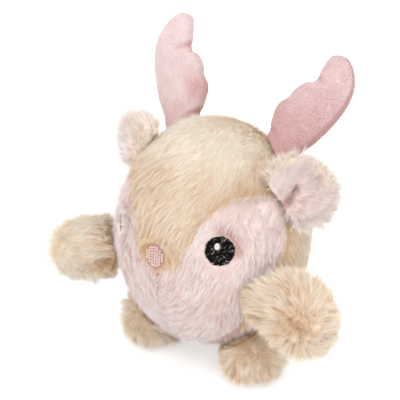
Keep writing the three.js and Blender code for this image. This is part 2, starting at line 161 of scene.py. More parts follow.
def makePileTree():
    labels = ("Strands", "Length", "Width", "Lean", "Curl", "Tufts", "Tuft pull", "Tuft turn", "Stray", "Wave")
    tree, given = newTree("pile", dict.fromkeys(labels, 0.0) | {"Seed": 0, "Material": None})

    def times(*feeds):
        return maths(tree, "MULTIPLY", *feeds)

    def plus(*feeds):
        return maths(tree, "ADD", *feeds)

    def parted(first, second):
        return maths(tree, "DIVIDE", first, second)

    def scaled(vector, share):
        return vectors(tree, "SCALE", vector, share)

    def named(name, kind="FLOAT"):
        return geo(tree, "InputNamedAttribute", {"Name": name}, data_type=kind)

    def stored(geometry, name, value, kind="FLOAT", domain="POINT"):
        feeds = {"Geometry": geometry, "Name": name, "Value": value}
        return geo(tree, "StoreNamedAttribute", feeds, data_type=kind, domain=domain)

    def scattered(density, seed):
        return grow(tree, "GeometryNodeDistributePointsOnFaces", {0: given["Base"], 4: density, 6: seed}).outputs

    def chance(low, high, source, seed):
        node = grow(tree, "FunctionNodeRandomValue", {2: low, 3: high, 7: source, 8: seed}, data_type="FLOAT")
        return node.outputs[1]

    def chanceVector(source, seed):
        feeds = {0: (-1, -1, -1), 1: (1, 1, 1), 7: source, 8: seed}
        return socketOf(tree, "FunctionNodeRandomValue", feeds, data_type="FLOAT_VECTOR")

    seed = given["Seed"]
    place = geo(tree, "InputPosition")
    index = geo(tree, "InputIndex")
    roots = scattered(times(given["Strands"], named("pile")), seed)
    tufts = scattered(given["Tufts"], plus(seed, 40))[0]
    nearest = geo(tree, "SampleNearest", {"Geometry": tufts, "Sample Position": place})
    feeds = {"Geometry": tufts, "Value": place, "Index": nearest}
    tuftPlace = geo(tree, "SampleIndex", feeds, data_type="FLOAT_VECTOR", domain="POINT")

    # The way a strand points: up from the skin, over along the comb, in to its tuft and a little astray.
    comb = named("comb", "FLOAT_VECTOR")
    lean = times(given["Lean"], chance(0.75, 1.2, index, 2))
    down = times(lean, vectors(tree, "LENGTH", comb))
    heading = scaled(roots["Normal"], maths(tree, "SUBTRACT", 1.0, down))
    tufty = named("tufty")
    pull = times(tufty, parted(given["Tuft pull"], given["Length"]))
    inward = scaled(vectors(tree, "SUBTRACT", tuftPlace, place), pull)
    turned = scaled(chanceVector(nearest, 3), times(tufty, given["Tuft turn"]))
    astray = scaled(chanceVector(index, 4), given["Stray"])
    for more in (scaled(comb, lean), inward, turned, astray):
        heading = vectors(tree, "ADD", heading, more)
    heading = vectors(tree, "NORMALIZE", heading)

    tint = plus(times(chance(0.0, 1.0, index, 5), 0.55), times(chance(0.0, 1.0, nearest, 6), 0.45))
    points = stored(roots["Points"], "strandTint", tint)
    points = stored(points, "strandNumber", index)
    points = stored(points, "rootPlace", place, "FLOAT_VECTOR")
    points = stored(points, "pileNormal", roots["Normal"], "FLOAT_VECTOR")

    # One strand: a flat three-sided cone that tapers late and bends over.
    feeds = {"Vertices": 3, "Radius Top": 0.0, "Radius Bottom": 0.5, "Depth": 1.0}
    cone = geo(tree, "MeshCone", feeds)
    axes = grow(tree, "ShaderNodeSeparateXYZ", {0: place}).outputs
    along = axes[2]
    square = times(along, along)
    cone = stored(cone, "along", along)
    cone = stored(cone, "cross", place, "FLOAT_VECTOR")
    swell = plus(1.0, along, square)
    bend = times(given["Curl"], parted(given["Length"], given["Width"]), square)
    shaped = socketOf(tree, "ShaderNodeCombineXYZ", {
        0: plus(times(axes[0], swell, 0.5), bend), 1: times(axes[1], swell), 2: along,
    })
    cone = geo(tree, "SetPosition", {"Geometry": cone, "Position": shaped})

    aimed = socketOf(tree, "FunctionNodeAlignRotationToVector", {"Vector": heading}, axis="Z")
    feeds = {"Rotation": aimed, "Vector": comb}
    aimed = socketOf(tree, "FunctionNodeAlignRotationToVector", feeds, axis="X", pivot_axis="Z")
    wide = times(given["Width"], chance(0.75, 1.25, index, 7))
    long = times(given["Length"], chance(0.72, 1.12, index, 8), named("pileLength"))
    size = socketOf(tree, "ShaderNodeCombineXYZ", {0: wide, 1: wide, 2: long})
    feeds = {"Points": points, "Instance": cone, "Rotation": aimed, "Scale": size}
    strands = geo(tree, "InstanceOnPoints", feeds)
    strands = geo(tree, "RealizeInstances", {"Geometry": strands})

    # Neighbouring tips wander together.
    feeds = {"Vector": named("rootPlace", "FLOAT_VECTOR"), "Scale": 190.0, "Detail": 1.0}
    ripple = grow(tree, "ShaderNodeTexNoise", feeds).outputs["Color"]
    drift = vectors(tree, "SUBTRACT", ripple, (0.5, 0.5, 0.5))
    reach = named("along")
    drift = scaled(drift, times(reach, reach, given["Wave"], 4.0))
    strands = geo(tree, "SetPosition", {"Geometry": strands, "Offset": drift})

    # Each strand has a cell of its own in the texture.
    count = geo(tree, "AttributeDomainSize", {0: points}, component="POINTCLOUD")
    columns = maths(tree, "CEIL", maths(tree, "SQRT", parted(count, 0.79)))
    number = named("strandNumber")
    column = maths(tree, "MODULO", number, columns)
    row = maths(tree, "FLOOR", parted(number, columns))
    cross = grow(tree, "ShaderNodeSeparateXYZ", {0: named("cross", "FLOAT_VECTOR")}).outputs
    across = plus(column, plus(0.5, times(cross[0], 0.7)))
    up = plus(row, plus(0.19, plus(times(named("along"), 0.62), times(cross[1], 0.14))))
    cell = socketOf(tree, "ShaderNodeCombineXYZ", {0: parted(across, columns), 1: parted(up, columns)})
    strands = stored(strands, "OFBake", cell, "FLOAT2", "CORNER")

    skin = stored(given["Base"], "pileNormal", geo(tree, "InputNormal"), "FLOAT_VECTOR")
    skin = stored(skin, "strandTint", 0.5)
    skin = geo(tree, "SetShadeSmooth", {"Geometry": skin})
    strands = geo(tree, "SetShadeSmooth", {"Geometry": strands, "Shade Smooth": False})
    whole = grow(tree, "GeometryNodeJoinGeometry")
    for part in (strands, skin):
        tree.links.new(part, whole.inputs[0])
    feeds = {"Geometry": whole.outputs[0], "Material": given["Material"]}
    grow(tree, "NodeGroupOutput", {0: geo(tree, "SetMaterial", feeds)})
    return tree


def makeStitchTree():
    tree, given = newTree("stitches", {"Thread": 0.0, "Arch": 0.0, "Material": None})
    lines = geo(tree, "MeshToCurve", {0: given["Base"]})
    lines = geo(tree, "ResampleCurve", {"Curve": lines, "Count": 6})
    along = grow(tree, "GeometryNodeSplineParameter").outputs["Factor"]
    hump = maths(tree, "SINE", maths(tree, "MULTIPLY", along, math.pi))
    up = geo(tree, "InputNamedAttribute", {"Name": "outward"}, data_type="FLOAT_VECTOR")
    rise = vectors(tree, "SCALE", up, maths(tree, "MULTIPLY", hump, given["Arch"]))
    lines = geo(tree, "SetPosition", {"Geometry": lines, "Offset": rise})
    girth = maths(tree, "MULTIPLY", given["Thread"], maths(tree, "POWER", maths(tree, "ADD", hump, 0.06), 0.3))
    lines = geo(tree, "SetCurveRadius", {"Curve": lines, "Radius": girth})
    ring = geo(tree, "CurvePrimitiveCircle", {"Resolution": 5, "Radius": 1.0})
    thread = grow(tree, "GeometryNodeCurveToMesh", {"Curve": lines, "Profile Curve": ring, "Fill Caps": True})
    if "Scale" in thread.inputs:
        tree.links.new(geo(tree, "InputRadius"), thread.inputs["Scale"])
    thread = geo(tree, "RealizeInstances", {"Geometry": thread.outputs[0]})
    thread = geo(tree, "SetShadeSmooth", {"Geometry": thread})
    feeds = {"Geometry": thread, "Material": given["Material"]}
    grow(tree, "NodeGroupOutput", {0: geo(tree, "SetMaterial", feeds)})
    return tree


pileTree = makePileTree()
stitchTree = makeStitchTree()
print("trees made")


# Finishes

def linear(colour):
    return tuple(c / 12.92 if c <= 0.04045 else ((c + 0.055) / 1.055) ** 2.4 for c in (v / 255 for v in colour)) + (1,)


def newMaterial(name, **constants):
    material = bpy.data.materials.new(name)
    material.use_nodes = True
    tree = material.node_tree
    shader = tree.nodes["Principled BSDF"]
    for label, value in constants.items():
        shader.inputs[label.replace("_", " ")].default_value = value
    return material, tree, shader


def mixed(tree, share, first, second):
    feeds = {0: share, 6: first, 7: second}
    return grow(tree, "ShaderNodeMix", feeds, data_type="RGBA", clamp_factor=True).outputs[2]


def ramp(tree, source, low, high, bottom=0.0, top=1.0):
    feeds = {0: source, 1: low, 2: high, 3: bottom, 4: top}
    return socketOf(tree, "ShaderNodeMapRange", feeds, interpolation_type="SMOOTHSTEP")


def clouds(tree, scale, detail=2.0, roughness=0.5):
    here = grow(tree, "ShaderNodeTexCoord").outputs["Object"]
    feeds = {"Vector": here, "Scale": scale, "Detail": detail, "Roughness": roughness}
    return grow(tree, "ShaderNodeTexNoise", feeds).outputs["Fac"]


def painted(tree, label, output="Fac"):
    return grow(tree, "ShaderNodeAttribute", attribute_name=label).outputs[output]


def coat(tree, shader, colour, height, strength, distance):
    bump = socketOf(tree, "ShaderNodeBump", {"Strength": strength, "Distance": distance, "Height": height})
    tree.links.new(colour, shader.inputs["Base Color"])
    tree.links.new(bump, shader.inputs["Normal"])


def plushMaterial(name, colours, other):
    material, tree, shader = newMaterial(
        name, Roughness=0.85, Specular_IOR_Level=0.2, Sheen_Weight=0.12, Sheen_Roughness=0.6,
        Sheen_Tint=linear(colours["deep"]),
    )
    # Warm is how deep the colour is from place to place: partly the cloth's own tone, partly painted shade in hollows,
    # creases, seams and where parts meet. Dye is the share of the neighbouring cloth's colour.
    warm = maths(
        tree, "ADD", painted(tree, "warm"), ramp(tree, clouds(tree, 45.0), 0.3, 0.7, -0.12, 0.12),
        ramp(tree, painted(tree, "strandTint"), 0.1, 0.9, -0.2, 0.2),
    )
    dye = painted(tree, "dye")

    def shade(light, deep):
        own = mixed(tree, warm, linear(colours[light]), linear(colours[deep]))
        return mixed(tree, dye, own, mixed(tree, warm, linear(other[light]), linear(other[deep])))

    # Painted shade: the roots take deeper colours, most where warm is deep, for the shade low in the pile.
    rise = ramp(tree, painted(tree, "along"), 0.0, colours["rise"])
    tone = mixed(tree, rise, shade("root", "rootDeep"), shade("pale", "deep"))
    # Painted shade: a share of strands takes the dark colour to stand for shaded gaps in the pile, more where warm is
    # deep.
    gapShade = ramp(tree, painted(tree, "strandTint"), 0.74, 0.86, 0.0, colours["shadedGapShare"])
    gapShade = maths(tree, "MULTIPLY", gapShade, ramp(tree, warm, 0.0, 0.9, 0.1, 1.0))
    tree.links.new(mixed(tree, gapShade, tone, linear(colours["dark"])), shader.inputs["Base Color"])
    own = grow(tree, "ShaderNodeNewGeometry").outputs["Normal"]
    turns = {"vector_type": "VECTOR", "convert_from": "OBJECT", "convert_to": "WORLD"}
    pile = socketOf(tree, "ShaderNodeVectorTransform", {0: painted(tree, "pileNormal", "Vector")}, **turns)
    soft = grow(tree, "ShaderNodeMix", {0: colours["softness"], 4: own, 5: pile}, data_type="VECTOR").outputs[1]
    tree.links.new(vectors(tree, "NORMALIZE", soft), shader.inputs["Normal"])
    return material


# The pile's colours. The deep root colour and the dark colour are partly painted shade, for the shade low in the pile
# and in its gaps.
beigeColours = {
    "pale": (255, 252, 245), "deep": (247, 223, 191), "root": (252, 239, 220), "rootDeep": (213, 173, 131),
    "dark": (206, 168, 128), "shadedGapShare": 0.42, "rise": 0.7, "softness": 0.3,
}
pinkColours = {
    "pale": (255, 252, 250), "deep": (251, 232, 226), "root": (251, 234, 228), "rootDeep": (208, 162, 154),
    "dark": (200, 152, 144), "shadedGapShare": 0.65, "rise": 0.7, "softness": 0.3,
}
beigePlush = plushMaterial("beige plush", beigeColours, pinkColours)
pinkPlush = plushMaterial("pink plush", pinkColours, beigeColours)

velvet = {
    "light": (238, 222, 221), "deep": (194, 147, 146), "fleck": (250, 238, 236),
    "flecks": 2000.0, "nap": 900.0,
}


def velvetMaterial():
    material, tree, shader = newMaterial(
        "rose velvet", Roughness=0.78, Specular_IOR_Level=0.2, Sheen_Weight=0.4, Sheen_Roughness=0.42,
        Sheen_Tint=linear(velvet["fleck"]),
    )
    grains = clouds(tree, velvet["flecks"], 2.0, 0.7)
    nap = maths(
        tree, "ADD", painted(tree, "nap"), ramp(tree, clouds(tree, 110.0, 3.0, 0.6), 0.3, 0.7, -0.08, 0.08),
        ramp(tree, grains, 0.35, 0.65, -0.2, 0.2),
    )
    tone = mixed(tree, nap, linear(velvet["deep"]), linear(velvet["light"]))
    tone = mixed(tree, ramp(tree, grains, 0.62, 0.74, 0.0, 0.5), tone, linear(velvet["fleck"]))
    coat(tree, shader, tone, maths(tree, "ADD", clouds(tree, velvet["nap"], 3.0, 0.6), grains), 0.45, 0.0004)
    return material


def threadMaterial(name, dark, light, roughness, sheen, gloss=0.35, start=0.2):
    material, tree, shader = newMaterial(
        name, Roughness=roughness, Specular_IOR_Level=gloss, Sheen_Weight=sheen, Sheen_Roughness=0.4
    )
    fibres = clouds(tree, 1500.0, 3.0, 0.65)
    # The palest stitches take the light colour: paler thread on most threads, a painted highlight on the black thread.
    lit = ramp(tree, painted(tree, "strandTint"), start, 1.0)
    share = maths(tree, "MULTIPLY", ramp(tree, fibres, 0.3, 0.7, 0.25, 1.0), lit)
    coat(tree, shader, mixed(tree, share, linear(dark), linear(light)), fibres, 0.4, 0.0001)
    return material


roseVelvet = velvetMaterial()
# The pale colour on a few black stitches is a painted highlight, for the sheen of the satin thread.
blackThread = threadMaterial("black thread", (6, 4, 5), (196, 182, 176), 0.5, 0.0, 0.12, 0.58)
whiteThread = threadMaterial("white thread", (226, 222, 220), (252, 250, 248), 0.5, 0.2)
pinkThread = threadMaterial("pink thread", (243, 214, 207), (255, 242, 237), 0.55, 0.3)
roseThread = threadMaterial("rose thread", (176, 124, 118), (208, 160, 152), 0.55, 0.3)
fibreFill = threadMaterial("fibre filling", (226, 222, 212), (246, 244, 238), 0.95, 0.4)
print("finishes made")


# Skins

def mergedCopy(node):
    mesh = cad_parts[node].data.copy()
    shape = bmesh.new()
    shape.from_mesh(mesh)
    bmesh.ops.remove_doubles(shape, verts=shape.verts, dist=1e-6)
    shape.to_mesh(mesh)
    shape.free()
    mesh.materials.clear()
    return mesh


def rowsOf(items, label, kind=np.float32):
    flat = np.empty(len(items) * 3, kind)
    items.foreach_get(label, flat)
    return flat.reshape(-1, 3)


def places(mesh):
    return rowsOf(mesh.vertices, "co").astype(float)


def normals(mesh):
    return rowsOf(mesh.vertex_normals, "vector").astype(float)


def move(mesh, points):
    mesh.vertices.foreach_set("co", np.asarray(points, np.float32).ravel())
    mesh.update()


def unit(rows):
    return rows / np.maximum(np.linalg.norm(rows, axis=-1, keepdims=True), 1e-9)


def flatOn(rows, normal):
    return unit(rows - normal * np.sum(rows * normal, axis=1, keepdims=True))


def remeshed(name, mesh, voxel, rounds):
    piece = newObject(name, mesh)
    remesh = piece.modifiers.new("remesh", "REMESH")
    remesh.mode = "VOXEL"
    remesh.voxel_size = voxel
    smooth = piece.modifiers.new("smooth", "SMOOTH")
    smooth.factor = 0.5
    smooth.iterations = rounds
    return settle(piece)


# A node's solid as an evenly meshed piece, with its mesh, points and normals.
def startPiece(node, ending, shape):
    piece = remeshed(node + ending, mergedCopy(node), shape["voxel"], shape["rounds"])
    return piece, piece.data, places(piece.data), normals(piece.data)


# Smooth wandering of a value over the surface, the same on every run.
def wander(points, scale, seed):
    chance = np.random.default_rng(seed)
    total = np.zeros(len(points))
    for octave in range(5):
        way = unit(chance.normal(size=(1, 3)))[0] * scale * (0.7 + 0.35 * octave)
        total += np.sin(points @ way + chance.uniform(0, 2 * np.pi)) / (1 + 0.3 * octave)
    return total / 2.2


def turnedOn(comb, normal, angle):
    side = np.cross(normal, comb)
    return comb * np.cos(angle)[:, None] + side * np.sin(angle)[:, None]


def write(mesh, name, values, kind="FLOAT"):
    layer = mesh.attributes.new(name, kind, "POINT")
    layer.data.foreach_set("vector" if kind == "FLOAT_VECTOR" else "value", np.asarray(values, np.float32).ravel())


# What the pile grows by: the way it lies, its density and length, its tone with painted shade (warm), the neighbouring
# cloth's colour (dye), and how far it clumps.
def paint(mesh, comb, pile, length, warm, dye, tufty):
    write(mesh, "comb", comb, "FLOAT_VECTOR")
    for name, values in (("pile", pile), ("pileLength", length), ("warm", warm), ("dye", dye), ("tufty", tufty)):
        write(mesh, name, np.broadcast_to(values, len(mesh.vertices)))


def blot(points, middle, reach):
    return np.exp(-np.sum((points - middle) ** 2, axis=1) / reach**2)


def step(values, low, high):
    share = np.clip((values - low) / (high - low), 0, 1)
    return share * share * (3 - 2 * share)


def bell(values, middle, width):
    return np.exp(-(((values - middle) / width) ** 2))


def distances(points, node):
    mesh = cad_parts[node].data
    tree = BVHTree.FromPolygons([v.co for v in mesh.vertices], [tuple(p.vertices) for p in mesh.polygons])
    return np.array([tree.find_nearest(Vector(p))[3] for p in points])


def meshOf(name, create, **sizes):
    shape = bmesh.new()
    create(shape, **sizes)
    mesh = bpy.data.meshes.new(name)
    shape.to_mesh(mesh)
    shape.free()
    return mesh


def forget(mesh, *names):
    for name in names:
        if name in mesh.attributes:
            mesh.attributes.remove(mesh.attributes[name])


def dress(mesh, material):
    mesh.shade_smooth()
    mesh.materials.clear()
    mesh.materials.append(material)


# The skin's faces fill a strip at the top of the texture, one cell each.
def mapSkin(mesh):
    layer = mesh.uv_layers.new(name="OFBake")
    columns = math.ceil(math.sqrt(len(mesh.polygons) / 0.19))
    for face in mesh.polygons:
        column, row = face.index % columns, face.index // columns
        corners = list(face.loop_indices)
        for i, corner in enumerate(corners):
            turn = 2 * math.pi * (i + 0.5) / len(corners)
            layer.data[corner].uv = (
                (column + 0.5 + 0.35 * math.cos(turn)) / columns, 0.805 + (row + 0.5 + 0.35 * math.sin(turn)) / columns,
            )


def finish(piece, body, nodes=()):
    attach(piece, body)
    if nodes:
        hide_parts(*nodes)


# Grows the pile on a painted skin.
def furnish(piece, values, number, material, body, node):
    piece.data.materials.clear()
    mapSkin(piece.data)
    runTree(piece, pileTree, dict(values, Seed=values["Seed"] + number, Material=material))
    forget(piece.data, "comb", "pile", "pileLength", "tufty", "rootPlace", "strandNumber", "cross")
    finish(piece, body, [node])


# The ball

ballPile = {
    "Strands": 2.6e6, "Length": 0.0070, "Width": 0.00030, "Lean": 0.84, "Curl": 0.03, "Tufts": 2.2e5,
    "Tuft pull": 0.3, "Tuft turn": 0.16, "Stray": 0.12, "Wave": 0.0007, "Seed": 11,
}
cheekPile = {"Curl": 0.055, "Wave": 0.0011}  # the pink pile is curlier
ballShape = {
    "skinDepth": 0.0021,  # under the outside of the pile
    "wall": 0.0006,
    "seamDip": 0.0006,
    "seamWidth": 0.0035,
    "swirl": (60, 20, 0.021),  # degrees round from the nose and up, and its reach
    "swirlTurn": 1.2,
}
# Where the pile is painted paler or deeper, from the middle of the ball. Along the seams and in the hollow beside the
# nose this is painted shade.
ballTones = {
    "paleTop": (0.044, 0.072), "paleFront": (-0.030, 0.008), "crownSeamShade": 0.006,
    "shadeBesideNose": ((-0.0065, 0, 0.0065), 0.0048),  # away from its middle, and the reach
    "cheekSide": (0.030, 0.050), "cheekFront": 0.040, "chinSeamShade": (-0.0008, 0.0016),
    "underEye": ((0.003, 0, 0.004), 0.013),
    "backSeamShade": 0.008, "backTop": 0.045, "under": (0.040, 0.046),
}
# Round each spot: its bare radius, the ring beyond it, and the share of the pile's length and lean there.
# A bed is how deep the skin sinks, and a brow is taller pile on the nose's side.
plainDisc = {"frayed": 0.0, "brow": 0.0, "bed": 0.0, "crescent": 0.0}
discs = {
    "eye_left": {"bare": 0.0083, "ring": 0.0065, "length": 0.42, "lean": 0.9, "frayed": 1.0, "crescent": 1.0},
    "eye_right": {
        "bare": 0.0080, "ring": 0.0065, "length": 0.5, "lean": 0.8, "brow": 1.0, "bed": 0.0021, "crescent": 0.6,
    },
    "nose_edge": {"bare": 0.0074, "ring": 0.0070, "length": 0.6, "lean": 0.9},
}
# The rings that run round a spot, and the way from its middle to where each is strongest.
# The crescent's warmer colour is painted shade in its dent.
crescentRing = {
    "at": 0.0112, "width": 0.0028, "way": (0.62, 0.45, 0.64), "depth": 0.0013, "shorter": 0.7, "thinner": 0.3,
    "dentShade": 0.95,
}
browRing = {
    "at": 0.0104, "width": 0.0045, "way": (0.0092, -0.0064, 0.0010), "length": 0.95, "thicker": 1.2, "upright": 0.6,
}
frayedWay = (0.80, 0.45, -0.5)


def ballWay(turn, rise):
    turn, rise = math.radians(turn), math.radians(rise)
    return np.array((math.sin(turn) * math.cos(rise), -math.cos(turn) * math.cos(rise), math.sin(rise)))


def towards(away, way):
    return unit(away) @ unit(np.array(way))


def middleOf(node):
    low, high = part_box(node)
    return np.array((low + high) / 2)


def onSkin(point, depth=0.0):
    return centre + unit((point - centre) / radii) * (radii - depth)


# One sphere, parted among the covers where their seams run.
def ballSkins():
    covers = ["crown_cover"] + [kind + "_cover_" + side for kind in ("cheek", "back") for side in sides]
    whole = meshOf("ball", bmesh.ops.create_icosphere, subdivisions=6, radius=1)
    ways = places(whole)
    faces = rowsOf(whole.polygons, "vertices", np.int32)
    bpy.data.meshes.remove(whole)
    spots = centre + ways * (radii - 0.0015)
    nearby = np.stack([distances(spots, node) for node in covers], axis=1)
    owner = nearby.argmin(axis=1)
    shares = np.sort(nearby, axis=1)
    toSeam = shares[:, 1] - shares[:, 0]
    faceOwner = np.array([np.bincount(owner[f], minlength=len(covers)).argmax() for f in faces])
    skins = {}
    for k, node in enumerate(covers):
        used, compact = np.unique(faces[faceOwner == k], return_inverse=True)
        skins[node] = (ways[used], compact.reshape(-1, 3), toSeam[used])
    return skins


def ballShadeAndDye(kind, facing, outside, toSeam):
    tones = ballTones
    x, y, height = outside[:, 0], outside[:, 1], outside[:, 2] - centre[2]
    warm = 0.45 + 0.1 * wander(outside, 60, 9)
    if kind == "crown":
        warm += 0.12 - 0.75 * step(height, *tones["paleTop"]) * step(-y, *tones["paleFront"])
        # Painted shade in the hollow up beside the nose.
        away, reach = tones["shadeBesideNose"]
        warm += 0.9 * blot(outside, discMiddles["nose_edge"] + np.array(away), reach)
        # Painted shade along the crown's seam on the left side.
        warm += 0.35 * bell(toSeam, 0, tones["crownSeamShade"]) * step(x, -0.005, 0.03)
    if kind == "cheek":
        eye = discMiddles["eye_left" if facing == 1 else "eye_right"]
        away, reach = tones["underEye"]
        # Paler towards the cheeks' sides; painted shade along the seam down the middle, under the nose.
        warm -= 0.25 * step(np.abs(x), *tones["cheekSide"]) - 0.6 * bell(x, *tones["chinSeamShade"])
        warm -= 0.25 * blot(outside, eye - np.array(away) * (facing, 1, 1), reach)
        warm -= 0.2 * step(tones["cheekFront"] - np.abs(x), 0.0, 0.012)
    if kind == "back":
        # Painted shade in the crevice along the back's seams, below its top.
        warm += 0.4 * bell(toSeam, 0, tones["backSeamShade"]) * step(tones["backTop"] - height, 0.0, 0.020)
    under = step(-height, *tones["under"]) * step(-y, -0.02, 0.0)
    return warm, under if kind == "back" else 0.0


def makeCover(number, node, ways, faces, toSeam):
    kind = node.split("_")[0]
    facing = -1 if node.endswith("right") else 1
    normal = unit(ways / radii)
    outside = centre + ways * radii
    dip = ballShape["seamDip"] * bell(toSeam, 0, ballShape["seamWidth"])
    depth = ballShape["skinDepth"] + dip + 0.0003 * wander(outside, 160, 5)
    pile = np.ones(len(ways))
    length = 1 + 0.1 * wander(outside, 90, 6)
    way = {"crown": (0, -0.8, -0.6), "cheek": (-0.62 * facing, 0, -0.8), "back": (0.1 * facing, 0.15, -1.0)}[kind]
    comb = flatOn(np.tile(way, (len(ways), 1)), normal)
    # Behind each eye the pile swirls.
    turn, rise, reach = ballShape["swirl"]
    swirl = blot(outside, centre + ballWay(turn * facing, rise) * radii, reach) if kind == "cheek" else 0
    twist = ballShape["swirlTurn"] * swirl * wander(outside, 480, 3)
    comb = turnedOn(comb, normal, 0.4 * wander(outside, 110, 7 + number) + twist)
    lean = np.ones(len(ways))
    warm, dye = ballShadeAndDye(kind, facing, outside, toSeam)
    for disc, middle in discMiddles.items():
        look = dict(plainDisc, **discs[disc])
        away = outside - middle
        far = np.linalg.norm(away, axis=1)
        frayed = look["frayed"] * (towards(away, frayedWay) > 0.82)
        pile[far < look["bare"]] = 0
        near = step(far, look["bare"], look["bare"] + look["ring"])
        length *= look["length"] + (1 - look["length"]) * np.maximum(near, frayed)
        pile *= 1 - 0.6 * frayed * (1 - near)
        lean *= look["lean"] + (1 - look["lean"]) * near
        # A bare dent curves round the upper outer edge of the eye, and painted shade deepens its colour.
        ring = crescentRing
        outward = towards(away, np.array(ring["way"]) * (np.sign(middle[0] + 1e-9), 1, 1))
        crescent = look["crescent"] * bell(far, ring["at"], ring["width"]) * step(outward, 0.1, 0.65)
        length *= 1 - ring["shorter"] * crescent
        warm = warm + ring["dentShade"] * crescent
        pile = pile * (1 - ring["thinner"] * crescent)
        bed = look["bed"] * (1 - step(far, look["bare"] - 0.0006, look["bare"] + 0.0020))
        depth = depth + ring["depth"] * crescent + bed
        ring = browRing
        toNose = step(towards(away, ring["way"]), -0.2, 0.4)
        brow = look["brow"] * toNose * bell(far, ring["at"], ring["width"])
        lean *= 1 - ring["upright"] * brow
        length = length + (ring["length"] - length) * brow
        pile = pile * (1 + ring["thicker"] * brow)
        radial = flatOn(away, normal) * (1 - 2 * frayed)[:, None]
        comb = unit(comb * (0.35 + 0.65 * near)[:, None] + radial * (1 - near)[:, None] * 0.9)
    pink = kind == "cheek"
    mesh = bpy.data.meshes.new(node)
    mesh.from_pydata(outside - normal * depth[:, None], [], faces)
    paint(mesh, flatOn(comb, normal) * lean[:, None], pile, length, warm, dye, (1.7 if pink else 0.9) + 1.1 * swirl)
    piece = newObject(node.replace("cover", "plush"), mesh)
    wall = piece.modifiers.new("wall", "SOLIDIFY")
    wall.thickness = ballShape["wall"]
    wall.offset = -1
    settle(piece)
    # The wall's inner face grows no pile.
    layer = piece.data.attributes["pile"].data
    grown = np.empty(len(layer), np.float32)
    layer.foreach_get("value", grown)
    grown[np.einsum("ij,ij->i", places(piece.data) - centre, normals(piece.data)) <= 0] = 0
    layer.foreach_set("value", grown)
    values = dict(ballPile, **(cheekPile if pink else {}))
    furnish(piece, values, number, pinkPlush if pink else beigePlush, "body", node)


discMiddles = {node: onSkin(middleOf(node)) for node in discs}
for number, (node, skin) in enumerate(ballSkins().items()):
    makeCover(number, node, *skin)
print("ball made")


def makeCore():
    mesh = meshOf("ball_filling", bmesh.ops.create_icosphere, subdivisions=5, radius=1)
    ways = places(mesh)
    lumps = 0.0004 * wander(ways, 9, 21) + 0.0003 * wander(ways, 23, 22)
    move(mesh, centre + ways * (radii - coverDepth - 0.0024 + lumps[:, None]))
    dress(mesh, fibreFill)
    piece = newObject("ball_filling", mesh)
    finish(piece, "body", ["stuffing"])


makeCore()


# Arms and feet

limbPile = {
    "Strands": 2.6e6, "Length": 0.0080, "Width": 0.00031, "Lean": 0.66, "Curl": 0.05, "Tufts": 9e4,
    "Tuft pull": 0.5, "Tuft turn": 0.25, "Stray": 0.12, "Wave": 0.0011, "Seed": 31,
}
limbShape = {
    "voxel": 0.0016, "rounds": 6, "skinDepth": 0.0036, "lumps": 0.0007, "sole": 0.0006, "toeBack": 0.0030,
    "seat": {"arm": 0.0022, "leg": 0.0010},  # bare where it is nearer to the ball
    "foldSlope": 0.45, "foldWidth": 0.0028, "foldDepth": 0.0034, "curlDepth": 0.0011, "curlReach": 0.013,
}
# The pile parts at the pole, and pull moves the whole tip.
plainLimb = {"inset": 0.0, "rootWarm": 0.0, "fold": 0.0, "curls": 0.0, "pull": (0, 0, 0)}
# Root warm is painted shade near the arm's root, by the ball.
limbs = {
    "arm_left": {
        "pole": (0.62, -0.78, 0.14), "poleReach": 0.022, "inset": -0.0004, "pull": (0.0048, 0.0030, -0.0004),
        "warm": 0.4, "curls": 1.0,
    },
    "arm_right": {"pole": (0.86, -0.2, -0.05), "poleReach": 0.024, "warm": 0.1, "rootWarm": 0.3, "fold": 1.0},
    "leg_left": {
        "pole": (0.1, -0.6, 0.75), "poleReach": 0.018, "pull": (-0.0026, -0.0012, 0), "warm": 0.45, "curls": 0.2,
    },
    "leg_right": {"pole": (0.25, -0.7, 0.6), "poleReach": 0.018, "warm": 0.35},
}


def toBall(points):
    stretch = np.linalg.norm((points - centre) / radii, axis=1)
    return (stretch - 1) * np.linalg.norm(points - centre, axis=1) / np.maximum(stretch, 1e-6)


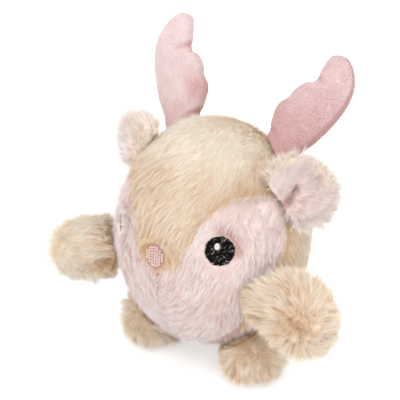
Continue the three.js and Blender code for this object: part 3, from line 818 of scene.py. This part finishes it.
def makeLimb(kind, side, number):
    node = kind + "_" + side
    shape = limbShape
    look = dict(plainLimb, **limbs[node])
    piece, mesh, points, normal = startPiece(node, "_plush", shape)
    gap = toBall(points)
    middle = points.mean(axis=0)
    low = points[:, 2].min()
    inward = np.einsum("ij,ij->i", normal, unit(points - centre)) < 0.1
    seated = (gap < shape["seat"][kind]) & inward
    depth = (shape["skinDepth"] + look["inset"]) * np.clip((gap - 0.0005) / 0.006, 0.05, 1)
    if kind == "leg":
        depth = np.minimum(depth, 0.0022 + (points[:, 2] - low) * 0.9)
    warm = look["warm"] + 0.12 * wander(points, 90, 55 + number)
    tufty = np.ones(len(points))
    if kind == "arm":
        reach = (points - centre) @ unit((middle - centre) * (1, 1, 0))
        reach = reach - reach[seated].mean()
        slope = points[:, 2] - middle[2] + 0.002 + shape["foldSlope"] * np.maximum(reach, 0)
        fold = bell(slope, 0, shape["foldWidth"]) * (1 - step(reach, 0.008, 0.024))
        fold = fold * step(-normal[:, 1], -0.2, 0.4) * look["fold"]
        parting = np.sign(slope) * np.minimum(1, 1.5 * fold**0.35)
        depth = depth + shape["foldDepth"] * fold
        # Painted shade: deeper in the fold, and near the root where the arm meets the ball.
        warm = warm + 0.9 * fold + look["rootWarm"] * (1 - step(reach, 0.004, 0.020))
        tufty = tufty * (1 + look["rootWarm"] * 1.5 * (1 - step(reach, 0.006, 0.020)))
    depth = depth + shape["lumps"] * wander(points, 170, 45 + number) * step(gap, 0.004, 0.012)
    pull = (step(gap, 0.002, 0.022) if kind == "arm" else np.ones(len(points)))[:, None] * np.array(look["pull"])
    if kind == "leg":
        pull = pull + step(middle[1] - points[:, 1], -0.005, 0.020)[:, None] * np.array((0, shape["toeBack"], 0))
    pits = np.maximum(wander(points, 1300, 47), 0)
    depth = depth + shape["curlDepth"] * look["curls"] * pits * step(gap, 0.010, 0.020)
    move(mesh, points - normal * depth[:, None] + pull)
    points, normal = places(mesh), normals(mesh)
    tip = middle + np.array(look["pole"]) * (sides[side], 1, 1) * look["poleReach"]
    away = points - tip
    far = np.linalg.norm(away, axis=1)
    comb = flatOn(away, normal) * (0.15 + 0.85 * step(far, 0.002, 0.024))[:, None]
    comb = turnedOn(comb, normal, 0.55 * wander(points, 130, 40 + number))
    if kind == "arm":
        upward = flatOn(np.tile((0, 0, 1.0), (len(points), 1)), normal)
        comb = comb * (1 - np.abs(parting))[:, None] + upward * parting[:, None]
    curls = bell(far, 0, shape["curlReach"]) * look["curls"]
    # Painted shade in the pits among the curls, and where the limb meets the ball.
    warm = warm + 0.2 * curls + 0.5 * curls * np.maximum(wander(points, 1300, 47), 0)
    warm = warm + 0.5 * (1 - step(gap, 0.002, 0.008)) + 0.14 * look["curls"] * step(far, 0.012, 0.022)
    tufty = tufty * ((1.2 if kind == "leg" else 0.65) + 2.4 * curls)
    pile = np.where(seated, 0.0, 1.0)
    length = (0.6 + 0.4 * step(gap, 0.0015, 0.010)) * (1 + 0.1 * wander(points, 100, 50 + number)) * (1 - 0.2 * curls)
    if kind == "leg":
        length *= 0.2 + 0.8 * step(points[:, 2] - low, 0.0, 0.014)
        pile = pile * np.where(normal[:, 2] < -0.8, 0.35, 1)
    paint(mesh, comb, pile, length, warm, 0.0, tufty)
    furnish(piece, limbPile, number, beigePlush, node, node)
    if kind == "leg":  # the pile is pressed by the floor
        points = places(piece.data)
        pressed = points[:, 2] < shape["sole"]
        points[pressed, 2] = shape["sole"] * np.exp((points[pressed, 2] - shape["sole"]) / shape["sole"])
        move(piece.data, points)


for number, (kind, side) in enumerate((k, s) for k in ("arm", "leg") for s in sides):
    makeLimb(kind, side, number)
print("arms and feet made")


# Ears

earPile = {
    "Strands": 2.8e6, "Length": 0.0064, "Width": 0.00030, "Lean": 0.7, "Curl": 0.05, "Tufts": 9e4,
    "Tuft pull": 0.42, "Tuft turn": 0.22, "Stray": 0.13, "Wave": 0.0010, "Seed": 61,
}
earShape = {
    "voxel": 0.0011, "rounds": 5, "backDepth": 0.0014, "liningLift": 0.0018, "liningSpread": 0.07,
    "crease": (0.001, 0.36, 0.0020),  # across from the middle, its slope and its width
}
# Sand is where the pink of the lining turns beige.
ears = {
    "left": {
        "tall": 0.95, "wide": 1.0, "shift": 0.0, "lobe": 0.0026, "crease": 0.0030,
        "sand": (0.0115, 0.0145), "warm": 0.1,
    },
    # The right ear's lower warm paints it paler than the left, as painted light.
    "right": {
        "tall": 0.72, "wide": 1.12, "shift": 0.0034, "lobe": 0.0012, "crease": 0.0008,
        "sand": (-0.002, 0.003), "warm": -0.25,
    },
}


# A flat ear's middle, the way that it faces, the way out from the ball and the way across.
def earFrame(side):
    points = places(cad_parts["ear_lining_" + side].data)
    middle = points.mean(axis=0)
    facing = np.linalg.eigh(np.cov((points - middle).T))[1][:, 0]
    facing = facing * (-1 if facing[1] > 0 else 1)
    out = flatOn((middle - centre)[None], facing[None])[0]
    return middle, facing, out, np.cross(facing, out) * sides[side]


def makeEar(side, number, part, other, material):
    look = ears[side]
    middle, facing, out, across = earFrame(side)
    node = "ear_" + part + "_" + side
    piece, mesh, points, normal = startPiece(node, "_plush", earShape)
    apart = distances(points, "ear_" + other + "_" + side)
    v, s = (points - middle) @ out, (points - middle) @ across
    front = step(normal @ facing, 0.1, 0.6)
    start, slope, width = earShape["crease"]
    beside = s - start - slope * v
    crease = bell(beside, 0, width) * (1 - step(v, -0.001, 0.005))
    lobe = np.exp(-((v + 0.005) ** 2 + (s + 0.007) ** 2) / 0.0065**2)
    if part == "lining":
        lift = earShape["liningLift"] + look["lobe"] * lobe - look["crease"] * crease
        moved = points + facing * (front * lift)[:, None] + normal * (0.0008 * (1 - front))[:, None]
        moved = moved + (out * v[:, None] + across * s[:, None]) * earShape["liningSpread"]
    else:
        moved = points - normal * earShape["backDepth"]
    root = middle - out * 0.018
    moved = moved - out * ((moved - root) @ out * (1 - look["tall"]))[:, None]
    moved = moved + across * ((moved - root) @ across * (look["wide"] - 1) + look["shift"])[:, None]
    move(mesh, moved)
    points, normal = places(mesh), normals(mesh)
    gap = toBall(points)
    seat = (gap < 0.003) & (normal @ unit(middle - centre) < 0)
    touching = (apart < 0.002) & (normal @ facing > 0.5) if part == "back" else normal @ facing < -0.5
    pile = np.where(touching | seat, 0.0, 1.0)
    # The pile lies away from the crease, and over the rim at the edge.
    spread = across * beside[:, None] + out * (v + 0.012)[:, None] * 0.8
    comb = flatOn(spread + facing * 0.002, normal)
    comb = turnedOn(comb, normal, (0.4 + 0.6 * front) * wander(points, 150, 70 + number))
    length = (1 if part == "back" else 0.85) * (1 + 0.12 * wander(points, 120, 80 + number))
    length = length * (1 + 0.5 * step(v, 0.008, 0.014) * np.maximum(wander(points, 700, 84), 0))
    warm = look["warm"] + 0.1 * wander(points, 130, 75 + number)
    if part == "lining":
        # Painted shade deepens the colour along the crease; the lobe is a little deeper in tone.
        warm = warm + 0.7 * crease + 0.15 * lobe
        low, high = look["sand"]
        dye = 0.6 * np.maximum(step(s, low, high), step(v, 0.0135, 0.017) if side == "left" else 0)
    else:
        edge = 0.9 * step(-s - 0.3 * v, 0.006, 0.010) * step(normal @ facing, -0.6, 0)
        dye = np.maximum(0.6 * bell(apart, 0, 0.003), edge)
    rim = 1 - np.abs(normal @ facing)
    comb = comb * (1 - 0.55 * rim)[:, None]
    paint(mesh, comb, pile, length, warm, dye, 0.8 + 1.4 * (crease + lobe) * (part == "lining") + 1.2 * rim)
    furnish(piece, earPile, number * 2 + (part == "back"), material, "ear_" + side, node)


for number, side in enumerate(sides):
    makeEar(side, number, "back", "lining", beigePlush)
    makeEar(side, number, "lining", "back", pinkPlush)
print("ears made")


# Antlers

antlerShape = {
    "voxel": 0.0008, "rounds": 6, "swell": 0.0002, "notch": 0.0010, "seam": 0.0005,
    "meeting": 0.0006, "closing": 0.00022,  # nearer than this the halves touch, and how far each swells there
    "crease": (0.011, 0.25, 0.0018),  # its length, slope and width
    "groove": (0.0020, 0.0010),  # from the other half, and its width
}
# Nap is the velvet's tone from base to tip, darker towards the base. The right antler's is paler, as painted light; the
# patch under the lower lobe and the seam's tone are painted shade.
antlers = {
    "left": {"nap": (0.0, 0.22, 0.42, 0.52), "undersideShade": 0.12, "seamShade": 0.9, "sparkle": 0.16},
    "right": {"nap": (0.50, 0.62, 0.72, 0.72), "undersideShade": 0.5, "seamShade": 0.1, "sparkle": 0.08},
}


# The blade's points and middle, and the ways along and across it. Across points to the notched edge.
def bladeFrame(side):
    points = np.vstack([places(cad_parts["antler_" + half + "_" + side].data) for half in ("front", "back")])
    middle = points.mean(axis=0)
    across, along = np.linalg.eigh(np.cov((points - middle).T))[1].T[1:]
    along = along * (-1 if along[2] < 0 else 1)
    inward = 1 if (centre - middle) @ across > 0 else -1
    return points, middle, along, across * inward


# Heights where the notched edge pulls in.
def notches(points, middle, along, across):
    h, a = (points - middle) @ along, (points - middle) @ across
    levels = np.linspace(h.min() + 0.010, h.max() - 0.010, 60)
    edge = np.array([a[np.abs(h - level) < 0.0035].max() for level in levels])
    edge = np.convolve(np.pad(edge, 2, mode="edge"), np.ones(5) / 5, mode="valid")
    found = [i for i in range(3, 57) if edge[i] <= edge[i - 3:i + 4].min() + 1e-9]
    return [(levels[i], edge[i]) for i in found]


def makeAntler(side, half, other):
    look, shape = antlers[side], antlerShape
    whole, middle, along, across = bladeFrame(side)
    creases = notches(whole, middle, along, across)
    bottom, top = ((whole - middle) @ along).min(), ((whole - middle) @ along).max()
    node = "antler_" + half + "_" + side
    piece, mesh, points, normal = startPiece(node, "_velvet", shape)
    height, a = (points - middle) @ along, (points - middle) @ across
    apart = distances(points, "antler_" + other + "_" + side)
    seam = bell(apart, *shape["groove"]) * (apart > shape["meeting"]) * (half == "front")
    reach, slope, width = shape["crease"]
    dent = np.zeros(len(points))
    for level, edge in creases:
        fading = 1 - np.clip((edge - a) / reach, 0, 1)
        dent = np.maximum(dent, bell(height - level + slope * (edge - a), 0, width) * fading)
    raised = shape["swell"] - shape["notch"] * dent - shape["seam"] * seam
    raised = np.where(apart < shape["meeting"], shape["closing"], raised)
    move(mesh, points + normal * raised[:, None])
    share = (height - bottom) / (top - bottom)
    nap = np.interp(share, (0.1, 0.4, 0.7, 1.0), look["nap"]) + 0.06 * wander(points, 90, 90)
    # Painted shade under the lower lobe, on the notched side.
    shadedUnderside = bell(share, 0.36, 0.1) * step(a, 0.002, 0.012)
    sparkle = look["sparkle"] * (0.35 + 0.65 * step(-a, -0.002, 0.008))
    nap = nap + sparkle * np.random.default_rng(17).uniform(-1, 1, len(points))
    # Painted shade in the notch creases, along the seam groove and under the lower lobe.
    nap = nap - look["undersideShade"] * shadedUnderside - 0.6 * dent - look["seamShade"] * seam
    write(mesh, "nap", nap)
    dress(mesh, roseVelvet)
    finish(piece, "antler_" + side, [node])


for side in sides:
    makeAntler(side, "front", "back")
    makeAntler(side, "back", "front")
print("antlers made")


# Embroidery

def frameOf(node):
    middle = middleOf(node)
    out = unit(unit((middle - centre) / radii) / radii)
    across = unit(np.cross((0, 0, 1.0), out))
    return middle, across, np.cross(out, across), out


# Each stitch is both ends' places across and up, and how far it stands out.
def sew(name, stitches, node, look, material, sunk=0.0, replaced=()):
    middle, across, up, out = frameOf(node)
    tints = np.repeat(np.random.default_rng(len(stitches)).uniform(0, 1, len(stitches)) ** 3, 2)
    ends = [
        onSkin(middle + across * x + up * y, look["depth"] + sunk - raised)
        for x0, y0, x1, y1, raised in stitches for x, y in ((x0, y0), (x1, y1))
    ]
    mesh = bpy.data.meshes.new(name)
    mesh.from_pydata(ends, [(i, i + 1) for i in range(0, len(ends), 2)], [])
    write(mesh, "outward", np.tile(out, (len(ends), 1)), "FLOAT_VECTOR")
    write(mesh, "strandTint", tints)
    piece = newObject(name, mesh)
    runTree(piece, stitchTree, {"Thread": look["thread"], "Arch": look["arch"], "Material": material})
    forget(piece.data, "outward")
    finish(piece, "body", replaced)


# A domed pad closes the ground under the stitches.
def makePad(name, node, material, rise, sunk=0.0):
    mesh = mergedCopy(node)
    middle, across, up, out = frameOf(node)
    flat = places(mesh) - middle
    far = np.hypot(flat @ across, flat @ up)
    level = rise * (1 - (far / far.max()) ** 2) - sunk
    move(mesh, places(mesh) + out * level[:, None])
    piece = remeshed(name, mesh, 0.0005, 6)
    dress(piece.data, material)
    finish(piece, "body", [node])


eyeStitch = {
    "radius": 0.0083, "row": 0.00036, "length": 0.0024, "thread": 0.00024, "arch": 0.00035,
    "depth": 0.0016, "slant": 24, "seed": 5, "sunk": {"left": 0.0, "right": 0.0019},
}
glintStitch = {"rows": 7, "row": 0.00052, "half": 0.0017, "thread": 0.00034, "arch": 0.0003, "depth": 0.00075}


def eyeStitches(seed):
    radius, row, length = (eyeStitch[key] for key in ("radius", "row", "length"))
    chance = np.random.default_rng(seed)
    turn = math.radians(eyeStitch["slant"])
    across, up = np.array((math.cos(turn), math.sin(turn))), np.array((-math.sin(turn), math.cos(turn)))
    found = []
    for layer in range(2):
        y = -radius
        while y < radius:
            half = math.sqrt(max(radius**2 - y**2, 0))
            x = -half + chance.uniform(-0.3, 0.1) * length
            while x < half:
                start, end = x + chance.uniform(-0.15, 0.05) * length, x + length * chance.uniform(0.85, 1.25)
                tilt = chance.normal(0, 0.22) + (0.6 if layer else -0.15)
                a = np.array((start, y + chance.normal(0, row * 0.3)))
                b = np.array((end, a[1] + (end - start) * tilt))
                a, b = (p * min(1, radius * chance.uniform(0.93, 1.04) / max(np.linalg.norm(p), 1e-9)) for p in (a, b))
                if np.linalg.norm(a - b) > length * 0.25:
                    a, b = (p[0] * across + p[1] * up for p in (a, b))
                    found.append((*a, *b, 0.0002 * layer + chance.uniform(0, 0.0003)))
                x += length * 0.8
            y += row * (1 + 0.9 * layer)
    return found


def glintStitches():
    found = []
    for i in range(glintStitch["rows"]):
        row = i - (glintStitch["rows"] - 1) // 2
        y, share = glintStitch["row"] * row, math.sqrt(max(1 - row**2 / 13, 0.15))
        left, right = -glintStitch["half"] + 0.00006 * (i % 3), glintStitch["half"] - 0.00008 * (i % 2)
        found.append((left * share, y, right * share, y + 0.0002, 0.0))
    return found


for number, side in enumerate(sides):
    sunk = eyeStitch["sunk"][side]
    eye, glint = "eye_" + side, "eye_glint_" + side
    makePad("eye_pad_" + side, eye, blackThread, 0.0003, sunk)
    sew("eye_stitches_" + side, eyeStitches(eyeStitch["seed"] + number), eye, eyeStitch, blackThread, sunk)
    sew("eye_glint_stitches_" + side, glintStitches(), glint, glintStitch, whiteThread, sunk, [glint])


noseStitch = {
    "wide": 0.0056, "tall": 0.0064, "column": 0.00172, "length": 0.0016, "pair": 0.23,
    "thread": 0.00036, "arch": 0.0003, "depth": 0.0013, "seed": 9,
}
noseOutline = {"wide": 0.0062, "tall": 0.0070, "count": 34, "thread": 0.00024, "arch": 0.0001, "depth": 0.0013}


# Columns of paired stitches, end to end.
def noseStitches():
    wide, tall, column, length = (noseStitch[key] for key in ("wide", "tall", "column", "length"))
    chance = np.random.default_rng(noseStitch["seed"])
    found = []
    columns = int(2 * wide / column) + 1
    for c in range(columns):
        x = (c - (columns - 1) / 2) * column
        half = tall * math.sqrt(max(1 - (x / wide) ** 2 * 0.92, 0))
        y = -half + chance.uniform(0, 0.3) * length
        while y < half - 0.0004:
            end = min(y + length * chance.uniform(0.9, 1.15), half)
            for shift in (-noseStitch["pair"], noseStitch["pair"]):
                found.append((x + shift * column, y, x + shift * column * 0.8, end - 0.0002, 0.0))
            y = end
    return found


def outlineStitches():
    wide, tall, count = (noseOutline[key] for key in ("wide", "tall", "count"))
    found = []
    for i in range(count):
        a, b = (2 * math.pi * (i + s) / count for s in (-0.1, 1.1))
        found.append((wide * math.cos(a), tall * math.sin(a), wide * math.cos(b), tall * math.sin(b), 0.0))
    return found


makePad("nose_pad", "nose_fill", roseThread, 0.0001)
sew("nose_stitches", noseStitches(), "nose_fill", noseStitch, pinkThread)
sew("nose_outline", outlineStitches(), "nose_edge", noseOutline, roseThread, replaced=["nose_edge"])
print("embroidery made")


# Stage

stage = {
    "floor": 3.0, "floorTone": 0.86, "floorGlow": 0.45, "ambient": 0.74,
    # strength, width in degrees and the way to each lamp
    "lamps": {
        "key": (1.02, 50, (0.35, -0.7, 0.95)), "right": (0.54, 90, (1.0, -0.5, 0.35)),
        "left": (0.62, 90, (-0.9, -0.2, 0.5)),
    },
}


def showRays(tree):
    path = grow(tree, "ShaderNodeLightPath").outputs
    return maths(tree, "MAXIMUM", path["Is Camera Ray"], path["Is Glossy Ray"], path["Is Transmission Ray"])


def makeStage():
    mesh = meshOf("floor", bmesh.ops.create_grid, x_segments=1, y_segments=1, size=stage["floor"])
    floor = newObject("floor", mesh)
    tone = stage["floorTone"]
    material, tree, shader = newMaterial(
        "pale floor", Roughness=0.9, Base_Color=(tone, tone, tone, 1), Emission_Color=(1, 1, 1, 1)
    )
    glow = maths(tree, "MULTIPLY", showRays(tree), stage["floorGlow"])
    tree.links.new(glow, shader.inputs["Emission Strength"])
    mesh.materials.append(material)
    world = bpy.data.worlds.new("studio")
    scene.world = world
    world.use_nodes = True
    tree = world.node_tree
    ground = tree.nodes["Background"]
    ground.inputs["Color"].default_value = (1, 1, 1, 1)
    feeds = {0: showRays(tree), 2: stage["ambient"], 3: 1.0}
    tree.links.new(socketOf(tree, "ShaderNodeMix", feeds, data_type="FLOAT"), ground.inputs["Strength"])
    for name, (strength, angle, way) in stage["lamps"].items():
        data = bpy.data.lights.new(name, "SUN")
        data.energy = strength
        data.angle = math.radians(angle)
        lamp = newObject(name, data)
        lamp.rotation_mode = "QUATERNION"
        lamp.rotation_quaternion = Vector(way).to_track_quat("Z", "Y")


makeStage()
print("stage made")
